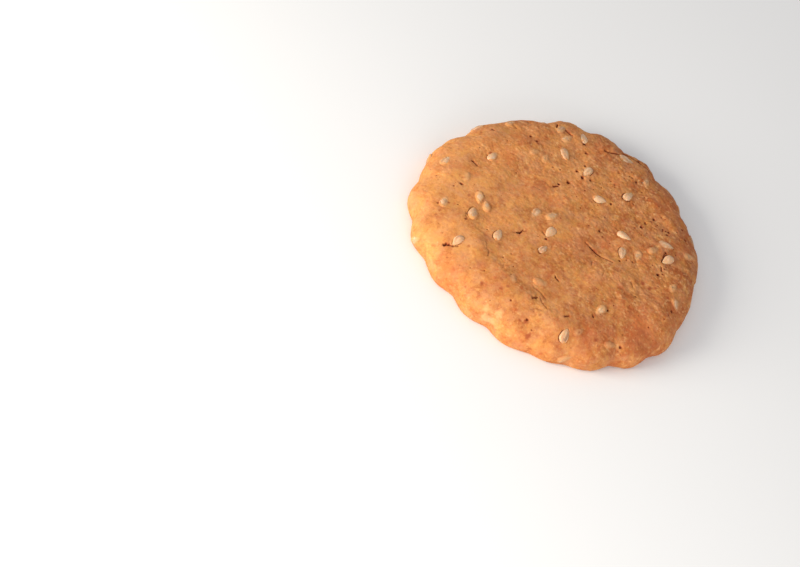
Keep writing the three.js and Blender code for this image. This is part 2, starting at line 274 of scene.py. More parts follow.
# How strongly a seed tints the dough that covers it wholly, how bare a seed is once the tint is
# full, and the shares of the way out to the seed's outline between which the tint fades
COVERED_TINT = 0.55
FULL_TINT_BARE = 0.4
TINT_FADE = (0.45, 1.15)
# The gap on the side that the dough has drawn back from: its depth, how strongly it is painted with
# shade as a share, how soft its edge is, the widths between which it opens, and the cosines of the
# angle off that side between which it opens
SOCKET_DEPTH = 0.28
GAP_SHADE = 0.55
GAP_EDGE = 0.06
GAP_OPENS = (0.02, 0.07)
GAP_FACING = (-0.1, 0.75)

# How fast the edges of fine details wander, in millimetres, and how far as a share of their size
WANDER_SPACING = 0.5
RAGGED_GAP = 0.5
RAGGED_FOLD = 0.6
RAGGED_CRACK = 0.4
RAGGED_PIT = 0.6
RAGGED_UNDERSIDE_PIT = 0.45
RAGGED_SPOT = 0.8

# Reddish bran: how dark, x, y and radius
BRAN = [
    (1.0, 18.5, -2.8, 0.5), (1.0, 20.1, -2.9, 0.45), (0.8, 24.1, -2.6, 0.4),
    (1.0, 2.9, -26.6, 0.55), (0.8, 1.8, -27.0, 0.35), (1.0, 4.7, -28.4, 0.5),
    (0.8, -22.1, -13.7, 0.35), (0.6, -12.6, 8.1, 0.7), (0.9, -7.9, -24.4, 0.5),
    (0.7, -13.0, 15.5, 0.6), (0.7, -3.7, 20.8, 0.5), (0.8, -14.6, 14.4, 0.4),
    (0.8, -24.0, 10.9, 0.4), (0.9, 16.0, -21.6, 0.5), (0.8, 26.8, 5.8, 0.5),
    (0.8, -9.4, 23.9, 0.5), (0.5, -8.3, 23.3, 0.4), (0.7, -7.2, -5.7, 0.35),
    (0.7, -2.7, 4.4, 0.35), (0.7, -8.9, -14.0, 0.35), (0.7, -3.3, -14.6, 0.35),
    (0.7, 0.8, -13.3, 0.35), (0.7, 5.1, -9.4, 0.35), (0.7, 6.6, -8.5, 0.3),
    (0.7, -9.4, 3.9, 0.35),
]
RANDOM_BRAN = 60
RANDOM_BRAN_SHARE = 0.8
RANDOM_BRAN_REACH = 29
RANDOM_BRAN_RADIUS = (0.15, 0.4)

# Pale grains of flour and sugar in the skin: how pale, x, y and radius
PALE_GRAINS = [
    (1.0, 10.7, 16.9, 0.3), (1.0, 12.2, 17.6, 0.3), (1.0, 14.0, 15.5, 0.28),
    (0.9, 15.0, 13.6, 0.28), (1.0, 19.3, 3.0, 0.3), (0.7, 1.5, 22.1, 0.3),
    (0.7, 2.4, 22.3, 0.3), (0.6, -4.6, -28.0, 0.8), (0.6, -2.1, -27.6, 0.9),
]
RANDOM_GRAINS = 110
RANDOM_GRAIN_SHARE = 0.8
RANDOM_GRAIN_REACH = 29.5
RANDOM_GRAIN_RADIUS = (0.08, 0.2)
PALE_GRAIN_RISE = 0.03

# Low steps in the dough: the rise, half the step's width, how far its high side runs on, and
# the line, with the high side on its right
FOLDS = [
    (0.28, 1.3, 6.0, [
        (-14.0, -12.6), (-12.6, -14.4), (-10.9, -16.2), (-9.1, -17.2), (-6.0, -18.3),
        (-3.1, -19.3), (0.0, -20.2), (3.0, -21.1), (5.2, -21.8), (7.9, -21.9), (10.9, -21.2),
    ]),
    (0.07, 0.35, 1.6, [(11.5, -2.5), (8.8, -2.6), (8.0, -2.5), (6.5, -2.0), (5.0, -1.7)]),
    (0.14, 0.4, 1.6, [(-6.2, 23.4), (-8.2, 23.1), (-9.6, 23.8), (-11.6, 25.6)]),
    (0.12, 0.3, 1.2, [(8.4, 22.2), (6.0, 22.0), (4.4, 21.2)]),
    (0.10, 0.3, 1.5, [(16.6, 15.6), (14.2, 17.2), (11.2, 18.0)]),
    (0.10, 0.3, 1.5, [(9.0, 19.9), (7.2, 19.2), (5.4, 18.1)]),
    (0.10, 0.4, 1.5, [(17.6, -4.6), (15.4, -3.6), (13.8, -3.4)]),
    (0.09, 0.4, 1.5, [(15.8, -9.6), (14.6, -7.4), (13.9, -4.8)]),
]

# Wrinkles in the skin: how far apart, how deep, and how wide as a share of their spacing
WRINKLES = [(4.2, 0.07, 0.10), (2.3, 0.05, 0.12)]
# The wrinkles fade in between these values of the noise that lays them in patches
WRINKLED_PATCHES = (-0.1, 0.3)
PEBBLE_SPACING = 1.3
PEBBLE_RISE = 0.03
# The share of the pebbles' rise that is level with the skin
PEBBLE_LEVEL = 0.6

UNDERSIDE_PITS = 70
UNDERSIDE_PIT_REACH = 28.5
UNDERSIDE_PIT_RADIUS = (0.15, 0.45)
UNDERSIDE_PIT_DEPTH = 0.3
UNDERSIDE_PIT_STEEPNESS = 4
# How dark the underside's pits are painted: partly their own darker crust, partly painted shade
UNDERSIDE_PIT_SHADE_AND_DARK = 0.6
# A normal that points further down than this is the underside's
UNDERSIDE_NORMAL = -0.7

# Patches baked redder: how red, x, y and radius
REDDENED_PATCHES = [
    (1.0, 22.5, -14.0, 5.0), (0.7, 14.0, -22.0, 4.0), (0.6, 25.5, -4.0, 3.5),
    (0.5, -8.0, 4.5, 3.0), (0.5, -20.0, 10.0, 3.5), (0.5, 4.5, -3.5, 2.5),
    (0.5, 17.0, 20.0, 4.0), (0.6, -15.5, 15.5, 3.0), (0.6, -14.0, -24.5, 2.5),
]

# Patches coloured browner or, below 0, paler: how much, x, y and radius
DARKER_PATCHES = [
    (1.1, 25.0, 11.0, 6.5), (1.1, 16.0, 23.0, 6.5), (0.8, 2.0, 28.0, 5.0), (0.5, -19.0, 22.0, 4.0),
    (0.45, 9.0, 7.0, 6.0), (0.4, -23.5, -13.5, 3.5), (0.45, -7.5, -27.5, 3.5),
    (0.3, -8.5, 8.5, 4.0), (0.25, 8.5, -8.5, 4.0), (-0.5, -20.0, 1.0, 6.0),
    (-0.5, -10.0, -9.0, 6.0), (-0.35, -16.0, 14.0, 5.0), (-0.4, 7.0, -26.0, 6.0),
]

# The side toward which the dough is coloured brownest, and the side where its skin is coarsest, in
# degrees, and how strong the skin's grain is on the finest and on the coarsest side
DARKER_SIDE = 350
COARSE_SIDE = 60
COARSENESS = (0.55, 1.9)

# ---- How fine the dough's mesh is ------------------------------------------------------------

SHEET_SIDES = 6
TOP_DIVISIONS = 116
UNDER_DIVISIONS = TOP_DIVISIONS // 2
# Lengths along the skin of the shoulder and the foot
SHOULDER_ARC = 12
FOOT_ARC = 2.3
# The triangles that lie within these distances of a detail are halved, once for each
FINE_WITHIN = (0.40, 0.22)
WELD_DISTANCE = 0.001

# Wavelength and height of each layer of the skin's grain, and how far the skin is set back from
# the solid's to make room for them
GRAIN = [(4.0, 0.11), (1.9, 0.07), (0.95, 0.03)]
GRAIN_SETBACK = 0.1

# Shifts that keep the layers of noise apart
WANDER_SHIFT = 3
GRAIN_SHIFT = 11
WRINKLE_SHIFT = 37
WRINKLED_PATCH_SHIFT = 43

# ---- Camera, light and floor -----------------------------------------------------------------

PHOTO_SIZE = (800, 567)
BISCUIT_PIXEL = (559.35, 235.95)
AIM_HEIGHT = 3
CAMERA_ELEVATION = 44.8
CAMERA_ROLL = 31.1
CAMERA_DISTANCE = 420
PIXELS_PER_MM = 5.09
SENSOR_WIDTH = 36
NEAREST_SEEN = 10
FLOOR_REACH = 3000

# ---- Small helpers ---------------------------------------------------------------------------

DRAW_STEP = 1664525
DRAW_SHIFT = 1013904223
DRAW_RANGE = 2**32
INVERSE_STEPS = 8
FAR_AWAY = 1e3
TINY = 1e-9


def draws(start):
    """A repeatable run of random numbers from 0 to 1."""
    state = start

    def draw():
        nonlocal state
        state = (state * DRAW_STEP + DRAW_SHIFT) % DRAW_RANGE
        return state / DRAW_RANGE

    return draw


def mix(low, high, share):
    """The value that lies a share of the way from low to high."""
    return low + (high - low) * share


def smooth(value, low, high):
    """0 below low, 1 above high, and an S-curve between; high may be the lower one."""
    share = np.clip((value - low) / (high - low), 0, 1)
    return share * share * (3 - 2 * share)


# ---- The skin --------------------------------------------------------------------------------

FLUTES = len(CREST_REACH)
FLUTE_PITCH = 2 * math.pi / FLUTES
FLAT_RADIUS = MEAN_RADIUS - SHOULDER_RUN


def reach(angle):
    """How far the outline stands out from the mean radius at an angle."""
    turned = (angle - math.radians(FIRST_CREST)) / FLUTE_PITCH
    flute = np.round(turned)
    offset = 2 * (turned - flute)
    index = flute.astype(int) % FLUTES
    crest = CREST_REACH[index]
    notch = np.where(offset < 0, NOTCH_REACH[index - 1], NOTCH_REACH[index])
    wave = (1 - np.cos(math.pi * offset)) / 2
    drop = mix(offset**2, wave, CREST_ROUNDNESS)
    turned_back = angle - math.radians(OUT_OF_ROUND_TURN)
    corners = OUT_OF_ROUND * np.cos(OUT_OF_ROUND_CORNERS * turned_back)
    return mix(crest, notch, drop) + corners


def lean(angle):
    """How far the flutes at an angle have crept past their even places, in radians."""
    past_notch = (angle - math.radians(FIRST_CREST)) / FLUTE_PITCH - 0.5
    notch = np.floor(past_notch).astype(int)
    before = NOTCH_LEAN[notch % FLUTES]
    after = NOTCH_LEAN[(notch + 1) % FLUTES]
    return FLUTE_PITCH * mix(before, after, past_notch - notch)


def flute_share(radius):
    """Share of the flutes that is still there at a radius of the unfluted round."""
    return smooth(radius, MEAN_RADIUS - FLUTE_FADE, MEAN_RADIUS - FLUTES_FULL)


def rounding(quarter, run, rise):
    """A rounding that leaves the rim upright and ends level: distance in, and rise."""
    power = 2 / SQUARENESS
    return run * (1 - np.abs(np.cos(quarter)) ** power), rise * np.abs(np.sin(quarter)) ** power


def make_waves():
    """The waves that make the face's soft lumps: their turns along x and y, and their phase."""
    draw = draws(LUMP_DRAWS)
    waves = []
    for _ in range(LUMP_COUNT):
        heading = 2 * math.pi * draw()
        turns_per_mm = 2 * math.pi / mix(LUMP_SHORTEST, LUMP_LONGEST, draw())
        phase = 2 * math.pi * draw()
        waves.append((turns_per_mm * math.cos(heading), turns_per_mm * math.sin(heading), phase))
    return waves


WAVES = make_waves()


def relief(x, y):
    """The face's dome and soft lumps: what they add to its height."""
    dome = FACE_DOME * (1 - (x * x + y * y) / MEAN_RADIUS**2)
    lumps = sum(LUMP_HEIGHT * np.sin(kx * x + ky * y + phase) for kx, ky, phase in WAVES)
    return dome - FACE_DOME + lumps


def shaped(radius, angle, height):
    """Moves points of the plain round to their places on the fluted, lumpy biscuit."""
    share = flute_share(radius)
    fluted = radius + reach(angle) * share
    turned = angle + lean(angle) * share
    x = fluted * np.cos(turned)
    y = fluted * np.sin(turned)
    lift = np.maximum(0, (height - WIDEST_HEIGHT) / (THICKNESS - WIDEST_HEIGHT))
    return np.stack([x, y, height + lift * relief(x, y)], axis=-1)


def upper_skin(share, angle):
    """The skin over the widest line: share 0 is the face's middle, and 1 the widest line."""
    reached = share * (FLAT_RADIUS + SHOULDER_ARC)
    left = np.clip((FLAT_RADIUS + SHOULDER_ARC - reached) / SHOULDER_ARC, 0, 1)
    inset, rise = rounding(left * math.pi / 2, SHOULDER_RUN, THICKNESS - WIDEST_HEIGHT)
    radius = np.where(reached < FLAT_RADIUS, reached, MEAN_RADIUS - inset)
    return shaped(radius, angle, WIDEST_HEIGHT + rise)


def lower_skin(share, angle):
    """The skin under the widest line: share 0 is the underside's middle."""
    flat = MEAN_RADIUS - FOOT_RUN
    reached = share * (flat + FOOT_ARC)
    left = np.clip((flat + FOOT_ARC - reached) / FOOT_ARC, 0, 1)
    inset, fall = rounding(left * math.pi / 2, FOOT_RUN, WIDEST_HEIGHT)
    radius = np.where(reached < flat, reached, MEAN_RADIUS - inset)
    return shaped(radius, angle, WIDEST_HEIGHT - fall)


def rim_point(angle, quarter):
    """The skin at an angle, where 0 is the widest line and pi/2 the face's edge."""
    inset, rise = rounding(quarter, SHOULDER_RUN, THICKNESS - WIDEST_HEIGHT)
    return Vector(shaped(MEAN_RADIUS - inset, np.float64(angle), WIDEST_HEIGHT + rise))


def face_point(x, y):
    """The face's skin over x, y."""
    turned = np.float64(math.atan2(y, x))
    fluted = math.hypot(x, y)
    angle = turned
    radius = fluted
    for _ in range(INVERSE_STEPS):
        fluting = flute_share(radius)
        angle = turned - lean(angle) * fluting
        radius = fluted - reach(angle) * fluting
    share = min(1, max(0, (MEAN_RADIUS - radius) / SHOULDER_RUN))
    quarter = math.acos((1 - share) ** (SQUARENESS / 2))
    _, rise = rounding(quarter, SHOULDER_RUN, THICKNESS - WIDEST_HEIGHT)
    return Vector(shaped(radius, angle, WIDEST_HEIGHT + rise))


# ---- Where the seeds lie ---------------------------------------------------------------------

Seed = namedtuple("Seed", "place size gap_heading gap_width bare shows paleness")


def placing(point, normal, along, turn, tilt, lift):
    """A seed's own axes: tip along X, flat side up along Z, its middle lifted off the skin."""
    up = normal.normalized()
    across = up.cross(along).normalized()
    forward = across.cross(up)
    axes = Matrix((forward, across, up)).transposed().to_4x4()
    turned = Matrix.Rotation(math.radians(turn), 4, "Z")
    tilted = Matrix.Rotation(math.radians(tilt), 4, "Y")
    return Matrix.Translation(point + up * lift) @ axes @ turned @ tilted


def on_face(x, y, turn, size, tilt, shows):
    """Where a seed in the face lies: over x, y, its tip turned from +X, in degrees."""
    to_right = face_point(x + NEARBY, y) - face_point(x - NEARBY, y)
    to_back = face_point(x, y + NEARBY) - face_point(x, y - NEARBY)
    lift = shows - SKIN_OVER_SEED - size * SEED_THICKNESS / 2
    normal = to_right.cross(to_back)
    return placing(face_point(x, y), normal, Vector((1, 0, 0)), turn, tilt, lift)


def in_rim(degrees, height, turn, size, tilt):
    """Where a seed in the rim lies: at an angle and height, its tip turned from level."""
    angle = math.radians(degrees)
    share = (height - WIDEST_HEIGHT) / (THICKNESS - WIDEST_HEIGHT)
    quarter = math.asin(max(0, share) ** (SQUARENESS / 2))
    step = NEARBY / MEAN_RADIUS
    around = rim_point(angle + step, quarter) - rim_point(angle - step, quarter)
    upward = rim_point(angle, quarter + step) - rim_point(angle, quarter)
    lift = SUNK_SHOWS - SKIN_OVER_SEED - size * SEED_THICKNESS / 2
    normal = around.cross(upward)
    return placing(rim_point(angle, quarter), normal, around.normalized(), turn, tilt, lift)


def under_dough(index, size, draw):
    """Where a seed in the underside lies, spread evenly by the golden angle."""
    share = math.sqrt((index + 0.5) / UNDERSIDE_SEEDS)
    angle = math.radians(index * GOLDEN_ANGLE + UNDERSIDE_SWING * draw())
    radius = UNDERSIDE_REACH * share
    point = Vector((radius * math.cos(angle), radius * math.sin(angle), 0))
    lift = UNDERSIDE_SHOWS - size * SEED_THICKNESS / 2
    return placing(point, Vector((0, 0, -1)), Vector((1, 0, 0)), 360 * draw(), 0, lift)


def lay_seeds():
    """Every seed: the clear and the sunk ones, the rim's, the far rim's and the underside's."""
    draw = draws(SEED_DRAWS)
    tone = draws(PALENESS_DRAWS)
    seeds = []

    def tilt():
        return SEED_TILT * (2 * draw() - 1)

    for x, y, turn, size, heading, width, paleness, bare in CLEAR_SEEDS:
        place = on_face(x, y, turn, size, tilt(), CLEAR_SHOWS)
        seeds.append(Seed(place, size, heading - turn, width, bare, CLEAR_SHOWS, paleness))
    for x, y, turn, size, bare in SUNK_SEEDS:
        place = on_face(x, y, turn, size, tilt(), SUNK_SHOWS)
        seeds.append(Seed(place, size, 0, 0, bare, SUNK_SHOWS, bare))
    for degrees, height, turn, size in RIM_SEEDS:
        place = in_rim(degrees, height, turn, size, tilt())
        seeds.append(Seed(place, size, 0, 0, RIM_SEEDS_BARE, SUNK_SHOWS, tone()))
    for index in range(FAR_RIM_SEEDS):
        degrees = mix(FAR_RIM_START, FAR_RIM_END, (index + draw()) / FAR_RIM_SEEDS)
        height = mix(FAR_RIM_LOWEST, FAR_RIM_HIGHEST, draw())
        turn = 360 * draw()
        size = mix(FAR_RIM_SMALLEST, FAR_RIM_LARGEST, draw())
        place = in_rim(degrees, height, turn, size, tilt())
        seeds.append(Seed(place, size, 0, 0, HIDDEN_SEEDS_BARE, SUNK_SHOWS, tone()))
    under_draw = draws(UNDERSIDE_SEED_DRAWS)
    for index in range(UNDERSIDE_SEEDS):
        size = mix(FAR_RIM_SMALLEST, FAR_RIM_LARGEST, under_draw())
        place = under_dough(index, size, under_draw)
        seeds.append(Seed(place, size, 0, 0, HIDDEN_SEEDS_BARE, UNDERSIDE_SHOWS, tone()))
    return seeds


SEEDS = lay_seeds()
SEED_BOX = SOLID_BOX + np.array([(0, 0, UNDERSIDE_CLEARANCE), (0, 0, 0)])

# ---- Distances that the dough's fine relief follows ------------------------------------------


def seed_edge(seed, places):
    """Distance out from a seed's outline, heading round it, and what lies at its level."""
    local = (places - np.array(seed.place.translation)) @ np.array(seed.place.to_3x3())
    along = local[:, 0] / (seed.size * SEED_LENGTH / 2)
    half_width = seed.size * SEED_WIDTH / 2 * (1 - SEED_TAPER * np.clip(along, -1, 1))
    from_middle = np.hypot(local[:, 0], local[:, 1]) + TINY
    share = np.sqrt(along**2 + (local[:, 1] / half_width) ** 2) + TINY
    heading = np.arctan2(local[:, 1], local[:, 0])
    at_level = np.abs(local[:, 2]) < SEED_LEVEL_REACH
    return from_middle * (1 - 1 / share), heading, at_level


def seed_top(seed, places):
    """Share of the way from a seed's middle to its outline, and its top's height over a place."""
    local = (places - np.array(seed.place.translation)) @ np.array(seed.place.to_3x3())
    along = local[:, 0] / (seed.size * SEED_LENGTH / 2)
    narrowing = 1 - SEED_TAPER * np.clip(along, -1, 1)
    across = local[:, 1] / (seed.size * SEED_WIDTH / 2 * narrowing)
    share = np.hypot(along, across)
    half_height = seed.size * SEED_THICKNESS / 2 * narrowing
    return share, half_height * np.sqrt(np.clip(1 - share**2, 0, 1)) - local[:, 2]


def gap_side(seed, heading):
    """1 on the side of a seed that the dough has drawn back from, in the seed's own axes."""
    facing = np.cos(heading - math.radians(seed.gap_heading))
    return smooth(facing, *GAP_FACING) * (seed.gap_width > 0)


def line_distance(line, places):
    """Distance over the face from a line, and how far it is on the line's right."""
    nearest = np.full(len(places), FAR_AWAY)
    to_right = np.zeros(len(places))
    for start, end in zip(line, line[1:]):
        start = np.array(start)
        step = np.array(end) - start
        share = np.clip((places[:, :2] - start) @ step / (step @ step), 0, 1)
        away = places[:, :2] - start - share[:, None] * step
        distance = np.hypot(away[:, 0], away[:, 1])
        closer = distance < nearest
        turned = (away[:, 0] * step[1] - away[:, 1] * step[0]) / np.hypot(*step)
        to_right = np.where(closer, turned, to_right)
        nearest = np.where(closer, distance, nearest)
    return nearest, to_right


def spot_distance(x, y, places):
    return np.hypot(places[:, 0] - x, places[:, 1] - y)


def fading(across, steepness=2):
    """1 in a detail's middle, fading out past 1; the steeper, the flatter its middle."""
    return np.exp(-(np.abs(across) ** steepness))


def scattered(start, count, reach_out, sizes):
    """Random places over a round, each with a size."""
    draw = draws(start)
    spots = []
    for _ in range(count):
        radius = reach_out * math.sqrt(draw())
        angle = 2 * math.pi * draw()
        spots.append((radius * math.cos(angle), radius * math.sin(angle), mix(*sizes, draw())))
    return spots


def with_share(share, spots):
    return [(share, *spot) for spot in spots]


SPREAD_PITS = scattered(SMALL_PIT_DRAWS, SMALL_PITS, SMALL_PIT_REACH, SMALL_PIT_RADIUS)
CLUSTERED_PITS = [
    (x + PIT_CLUSTER[0], y + PIT_CLUSTER[1], radius)
    for x, y, radius in scattered(CLUSTER_DRAWS, CLUSTER_PITS, CLUSTER_REACH, SMALL_PIT_RADIUS)
]
FACE_PITS = PITS + with_share(SMALL_PIT_SHARE, SPREAD_PITS + CLUSTERED_PITS)
UNDER_PITS = scattered(
    UNDERSIDE_PIT_DRAWS, UNDERSIDE_PITS, UNDERSIDE_PIT_REACH, UNDERSIDE_PIT_RADIUS
)
SPREAD_BRAN = scattered(BRAN_DRAWS, RANDOM_BRAN, RANDOM_BRAN_REACH, RANDOM_BRAN_RADIUS)
BRAN_SPOTS = BRAN + with_share(RANDOM_BRAN_SHARE, SPREAD_BRAN)
SPREAD_GRAINS = scattered(GRAIN_DRAWS, RANDOM_GRAINS, RANDOM_GRAIN_REACH, RANDOM_GRAIN_RADIUS)
GRAIN_SPOTS = PALE_GRAINS + with_share(RANDOM_GRAIN_SHARE, SPREAD_GRAINS)


def detail_distance(places):
    """How far each place is from the nearest edge, crack or pit that needs a fine mesh."""
    on_top = places[:, 2] > WIDEST_HEIGHT
    nearest = np.full(len(places), FAR_AWAY)
    for seed in SEEDS:
        outside, heading, at_level = seed_edge(seed, places)
        edge = np.abs(outside - seed.gap_width * gap_side(seed, heading) / 2)
        nearest = np.where(at_level, np.minimum(nearest, edge), nearest)
    for _, _, line in CRACKS:
        near, _ = line_distance(line, places)
        nearest = np.where(on_top, np.minimum(nearest, near), nearest)
    for _, x, y, radius in FACE_PITS:
        near = np.maximum(0, spot_distance(x, y, places) - radius)
        nearest = np.where(on_top, np.minimum(nearest, near), nearest)
    return nearest


def toward(places, degrees):
    """0 at the side that faces away from a direction, 1 at the side that faces it."""
    heading = math.radians(degrees)
    along = places[:, 0] * math.cos(heading) + places[:, 1] * math.sin(heading)
    return smooth(along, -MEAN_RADIUS, MEAN_RADIUS)


# ---- The dough's fine relief -----------------------------------------------------------------


def noise_at(places, wavelength, shift):
    scale = 1 / wavelength
    offset = Vector((shift, shift, shift))
    return np.array([noise.noise(Vector(place) * scale + offset) for place in places])


def pebbles_at(places, spacing):
    """Rounded grains: 1 at a grain's middle, falling to about 0 in the creases between."""
    scale = 1 / spacing
    return np.array([1 - noise.voronoi(Vector(place) * scale)[0][0] for place in places])


def grained(places, coarse):
    """Height of the skin's grain, wrinkles and pebbles."""
    height = np.full(len(places), -GRAIN_SETBACK)
    for index, (wavelength, rise) in enumerate(GRAIN):
        height += coarse * rise * noise_at(places, wavelength, GRAIN_SHIFT * index)
    for index, (spacing, depth, width) in enumerate(WRINKLES):
        crossing = noise_at(places, spacing, WRINKLE_SHIFT + index) / width
        patches = noise_at(places, 2 * spacing, WRINKLED_PATCH_SHIFT + index)
        strength = smooth(patches, *WRINKLED_PATCHES)
        height -= coarse * depth * strength * fading(crossing)
    pebbles = pebbles_at(places, PEBBLE_SPACING) - PEBBLE_LEVEL
    return height + coarse * PEBBLE_RISE * pebbles


def folded(places, wander, on_top):
    """Height that the low folds add."""
    height = np.zeros(len(places))
    for rise, half_width, run, line in FOLDS:
        away, outward = line_distance(line, places)
        along_fold = fading(away - np.abs(outward))
        ragged = outward + RAGGED_FOLD * half_width * wander
        step = smooth(ragged, -half_width, half_width) - smooth(outward, half_width, run)
        height += np.where(on_top, rise * along_fold * step, 0)
    return height


def laid_round_seeds(moved, places, wander):
    """The dough draped over the seeds, bare of them in part, and drawn back beside some.

    Returns how far each place then moves out, how strongly the gaps are painted with shade, and
    how strongly the dough is tinted by a seed under it.
    """
    shade_and_dark = np.zeros(len(places))
    film = np.zeros(len(places))
    for seed in SEEDS:
        outside, heading, at_level = seed_edge(seed, places)
        share, top = seed_top(seed, places)
        gap_facing = gap_side(seed, heading)
        bared = mix(seed.bare + BARE_WANDER * wander, 1, gap_facing)
        window = smooth(bared - share, 0, BARE_EDGE)
        over = top + mix(FILM_OVER_SEED, -BARE_CLEARANCE, window)
        draped = over + DRAPE * np.logaddexp(0, (moved - over) / DRAPE)
        moved = np.where(at_level & (share < 1), mix(draped, over, window), moved)

        gap = seed.gap_width * gap_facing * (1 + RAGGED_GAP * wander)
        opened = 1 - smooth(outside, gap - GAP_EDGE, gap + GAP_EDGE)
        opened = np.where(at_level & (share >= 1), opened * smooth(gap, *GAP_OPENS), 0)
        moved -= SOCKET_DEPTH * opened
        # The gap is painted darker with shade
        shade_and_dark = np.maximum(shade_and_dark, GAP_SHADE * opened)

        tint = mix(COVERED_TINT, 1, smooth(seed.bare, 0, FULL_TINT_BARE))
        tinted = tint * (1 - smooth(share, *TINT_FADE))
        film = np.maximum(film, np.where(at_level, tinted, 0))
    return moved, shade_and_dark, film


def cracked_and_pitted(places, wander, on_top, beneath):
    """How deep the cracks and pits are, and how dark they are painted: partly their own darker
    crust, partly painted shade.
    """
    depth = np.zeros(len(places))
    shade_and_dark = np.zeros(len(places))
    for share, width, line in CRACKS:
        near, _ = line_distance(line, places)
        across = near / (width * (1 + RAGGED_CRACK * wander))
        opened = np.where(on_top, share * fading(across), 0)
        depth += CRACK_DEPTH * opened
        shade_and_dark = np.maximum(shade_and_dark, opened)
    for share, x, y, radius in FACE_PITS:
        across = spot_distance(x, y, places) / (radius * (1 + RAGGED_PIT * wander))
        opened = np.where(on_top, share * fading(across, PIT_STEEPNESS), 0)
        depth += PIT_DEPTH * min(1, radius / FULL_DEPTH_RADIUS) * opened
        shade_and_dark = np.maximum(shade_and_dark, opened)
    for x, y, radius in UNDER_PITS:
        across = spot_distance(x, y, places) / (radius * (1 + RAGGED_UNDERSIDE_PIT * wander))
        opened = np.where(beneath, fading(across, UNDERSIDE_PIT_STEEPNESS), 0)
        depth += UNDERSIDE_PIT_DEPTH * opened
        shade_and_dark = np.maximum(shade_and_dark, UNDERSIDE_PIT_SHADE_AND_DARK * opened)
    return depth, shade_and_dark


def spot_shares(spots, places, wander):
    """For each ragged spot in turn, how strong it is at each place."""
    for share, x, y, radius in spots:
        across = spot_distance(x, y, places) / (radius * (1 + RAGGED_SPOT * wander))
        yield share * fading(across)


def strongest(shares, count):
    """The most that any of the shares is, at each of a count of places."""
    most = np.zeros(count)
    for share in shares:
        most = np.maximum(most, share)
    return most


def darkening(places):
    """How brown the dough is coloured: darker from one side to the other, and in patches."""
    brown = toward(places, DARKER_SIDE)
    for share, x, y, radius in DARKER_PATCHES:
        brown += share * fading(spot_distance(x, y, places) / radius)
    return brown


def carve(places, normals):
    """Fine relief of the skin: grain, folds, what the seeds do to it, cracks, pits and grains.

    Returns how far each place moves out along its normal, and the shares that the finish reads.
    """
    count = len(places)
    on_top = places[:, 2] > WIDEST_HEIGHT
    beneath = normals[:, 2] < UNDERSIDE_NORMAL
    wander = noise_at(places, WANDER_SPACING, WANDER_SHIFT)
    coarse = toward(places, COARSE_SIDE)

    skin = grained(places, mix(*COARSENESS, coarse)) + folded(places, wander, on_top)
    moved, gap_shade, film = laid_round_seeds(skin, places, wander)
    depth, shade_and_dark = cracked_and_pitted(places, wander, on_top, beneath)
    moved -= depth
    grains = [np.where(beneath, 0, share) for share in spot_shares(GRAIN_SPOTS, places, wander)]
    for grain in grains:
        moved += PALE_GRAIN_RISE * grain

    bran = strongest(spot_shares(BRAN_SPOTS, places, wander), count)
    shares = {
        # Painted shade in the gaps, cracks and pits, with some of the crust's own darker bake in the
        # cracks and pits
        "shade_and_dark": np.maximum(gap_shade, shade_and_dark),
        "film": film,
        "bran": np.where(beneath, 0, bran),
        "pale": strongest(grains, count),
        "reddened": strongest(spot_shares(REDDENED_PATCHES, places, wander), count),
        "darkening": darkening(places),
        "coarse": coarse,
    }
    return moved, shares


# ---- The dough's mesh ------------------------------------------------------------------------


def polar(places):
    """Share of the way out and angle, which turn the six-sided sheet into a round one."""
    angle = np.arctan2(places[:, 1], places[:, 0])
    sector = 2 * math.pi / SHEET_SIDES
    from_side = (angle + sector / 2) % sector - sector / 2
    radius = np.hypot(places[:, 0], places[:, 1])
    return radius * np.cos(from_side) / math.cos(sector / 2), angle


def read_places(mesh):
    return np.array([vert.co for vert in mesh.verts])


def set_places(mesh, places):
    for vert, place in zip(mesh.verts, places):
        vert.co = place


def dough_sheets():
    """Upper and lower skins as two round sheets that share the widest line."""
    skins = []
    for skin, divisions in ((upper_skin, TOP_DIVISIONS), (lower_skin, UNDER_DIVISIONS)):
        sheet = bmesh.new()
        bmesh.ops.create_circle(
            sheet, cap_ends=True, cap_tris=True, segments=SHEET_SIDES, radius=1
        )
        bmesh.ops.subdivide_edges(
            sheet, edges=sheet.edges[:], cuts=divisions - 1, use_grid_fill=True
        )
        if skin is lower_skin:
            border = [edge for edge in sheet.edges if edge.is_boundary]
            bmesh.ops.subdivide_edges(sheet, edges=border, cuts=1)
            bmesh.ops.reverse_faces(sheet, faces=sheet.faces[:])
        set_places(sheet, skin(*polar(read_places(sheet))))
        skins.append(sheet)
    return skins


def joined(sheets):
    """One mesh of several, which are used up."""
    whole = bmesh.new()
    for sheet in sheets:
        passing = bpy.data.meshes.new("passing")
        sheet.to_mesh(passing)
        sheet.free()
        whole.from_mesh(passing)
        bpy.data.meshes.remove(passing)
    return whole


def refine(mesh):
    """Halves the triangles near the fine details, once for each distance in FINE_WITHIN."""
    for within in FINE_WITHIN:
        near = detail_distance(read_places(mesh)) < within
        mesh.verts.index_update()
        edges = [e for e in mesh.edges if near[e.verts[0].index] and near[e.verts[1].index]]
        bmesh.ops.subdivide_edges(mesh, edges=edges, cuts=1)
        bmesh.ops.triangulate(mesh, faces=[f for f in mesh.faces if len(f.verts) > 3])


def make_object(name, mesh, material):
    """Closes a bmesh into an object in metres, smooth, at the origin."""
    bmesh.ops.scale(mesh, vec=(MM, MM, MM), verts=mesh.verts[:])
    for face in mesh.faces:
        face.smooth = True
    data = bpy.data.meshes.new(name)
    mesh.to_mesh(data)
    mesh.free()
    data.materials.append(material)
    piece = bpy.data.objects.new(name, data)
    bpy.context.scene.collection.objects.link(piece)
    return piece


def set_attribute(piece, name, values):
    layer = piece.data.attributes.new(name, "FLOAT", "POINT")
    layer.data.foreach_set("value", np.asarray(values, dtype=np.float32))


